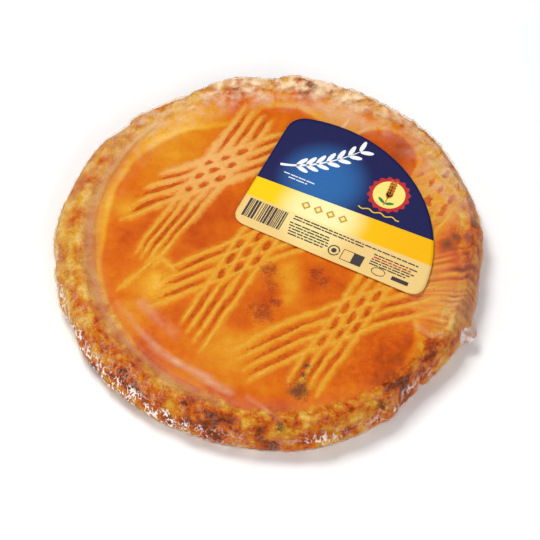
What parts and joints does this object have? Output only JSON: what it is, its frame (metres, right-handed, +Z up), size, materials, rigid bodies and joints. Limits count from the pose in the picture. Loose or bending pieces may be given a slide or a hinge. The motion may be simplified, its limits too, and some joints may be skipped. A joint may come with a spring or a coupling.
{
  "type": "breton butter cake",
  "caption": "Round golden butter cake with a lumpy raised rim and a fork-scored, egg-washed top, sealed in clear film with a paper label stuck on top.",
  "frame": {"origin": "centre of the footprint's bounding box, on the surface that the cake stands on", "axes": "+Z up through the cake's thickness; +X to the right and +Y away from the camera as the picture shows it"},
  "size_m": [0.1982, 0.1978, 0.0258],
  "materials": {
    "baked_crust": "golden brown glazed crust with paler scored lines, seen through glossy clear film",
    "label_paper": "smooth coated paper, dark blue over yellow and pale peach fields",
    "clear_film": "thin clear shrink film, crinkled round the side"
  },
  "bodies": {
    "root": {"wrapped_cake": "baked_crust", "label": "label_paper"}
  },
  "joints": []
}
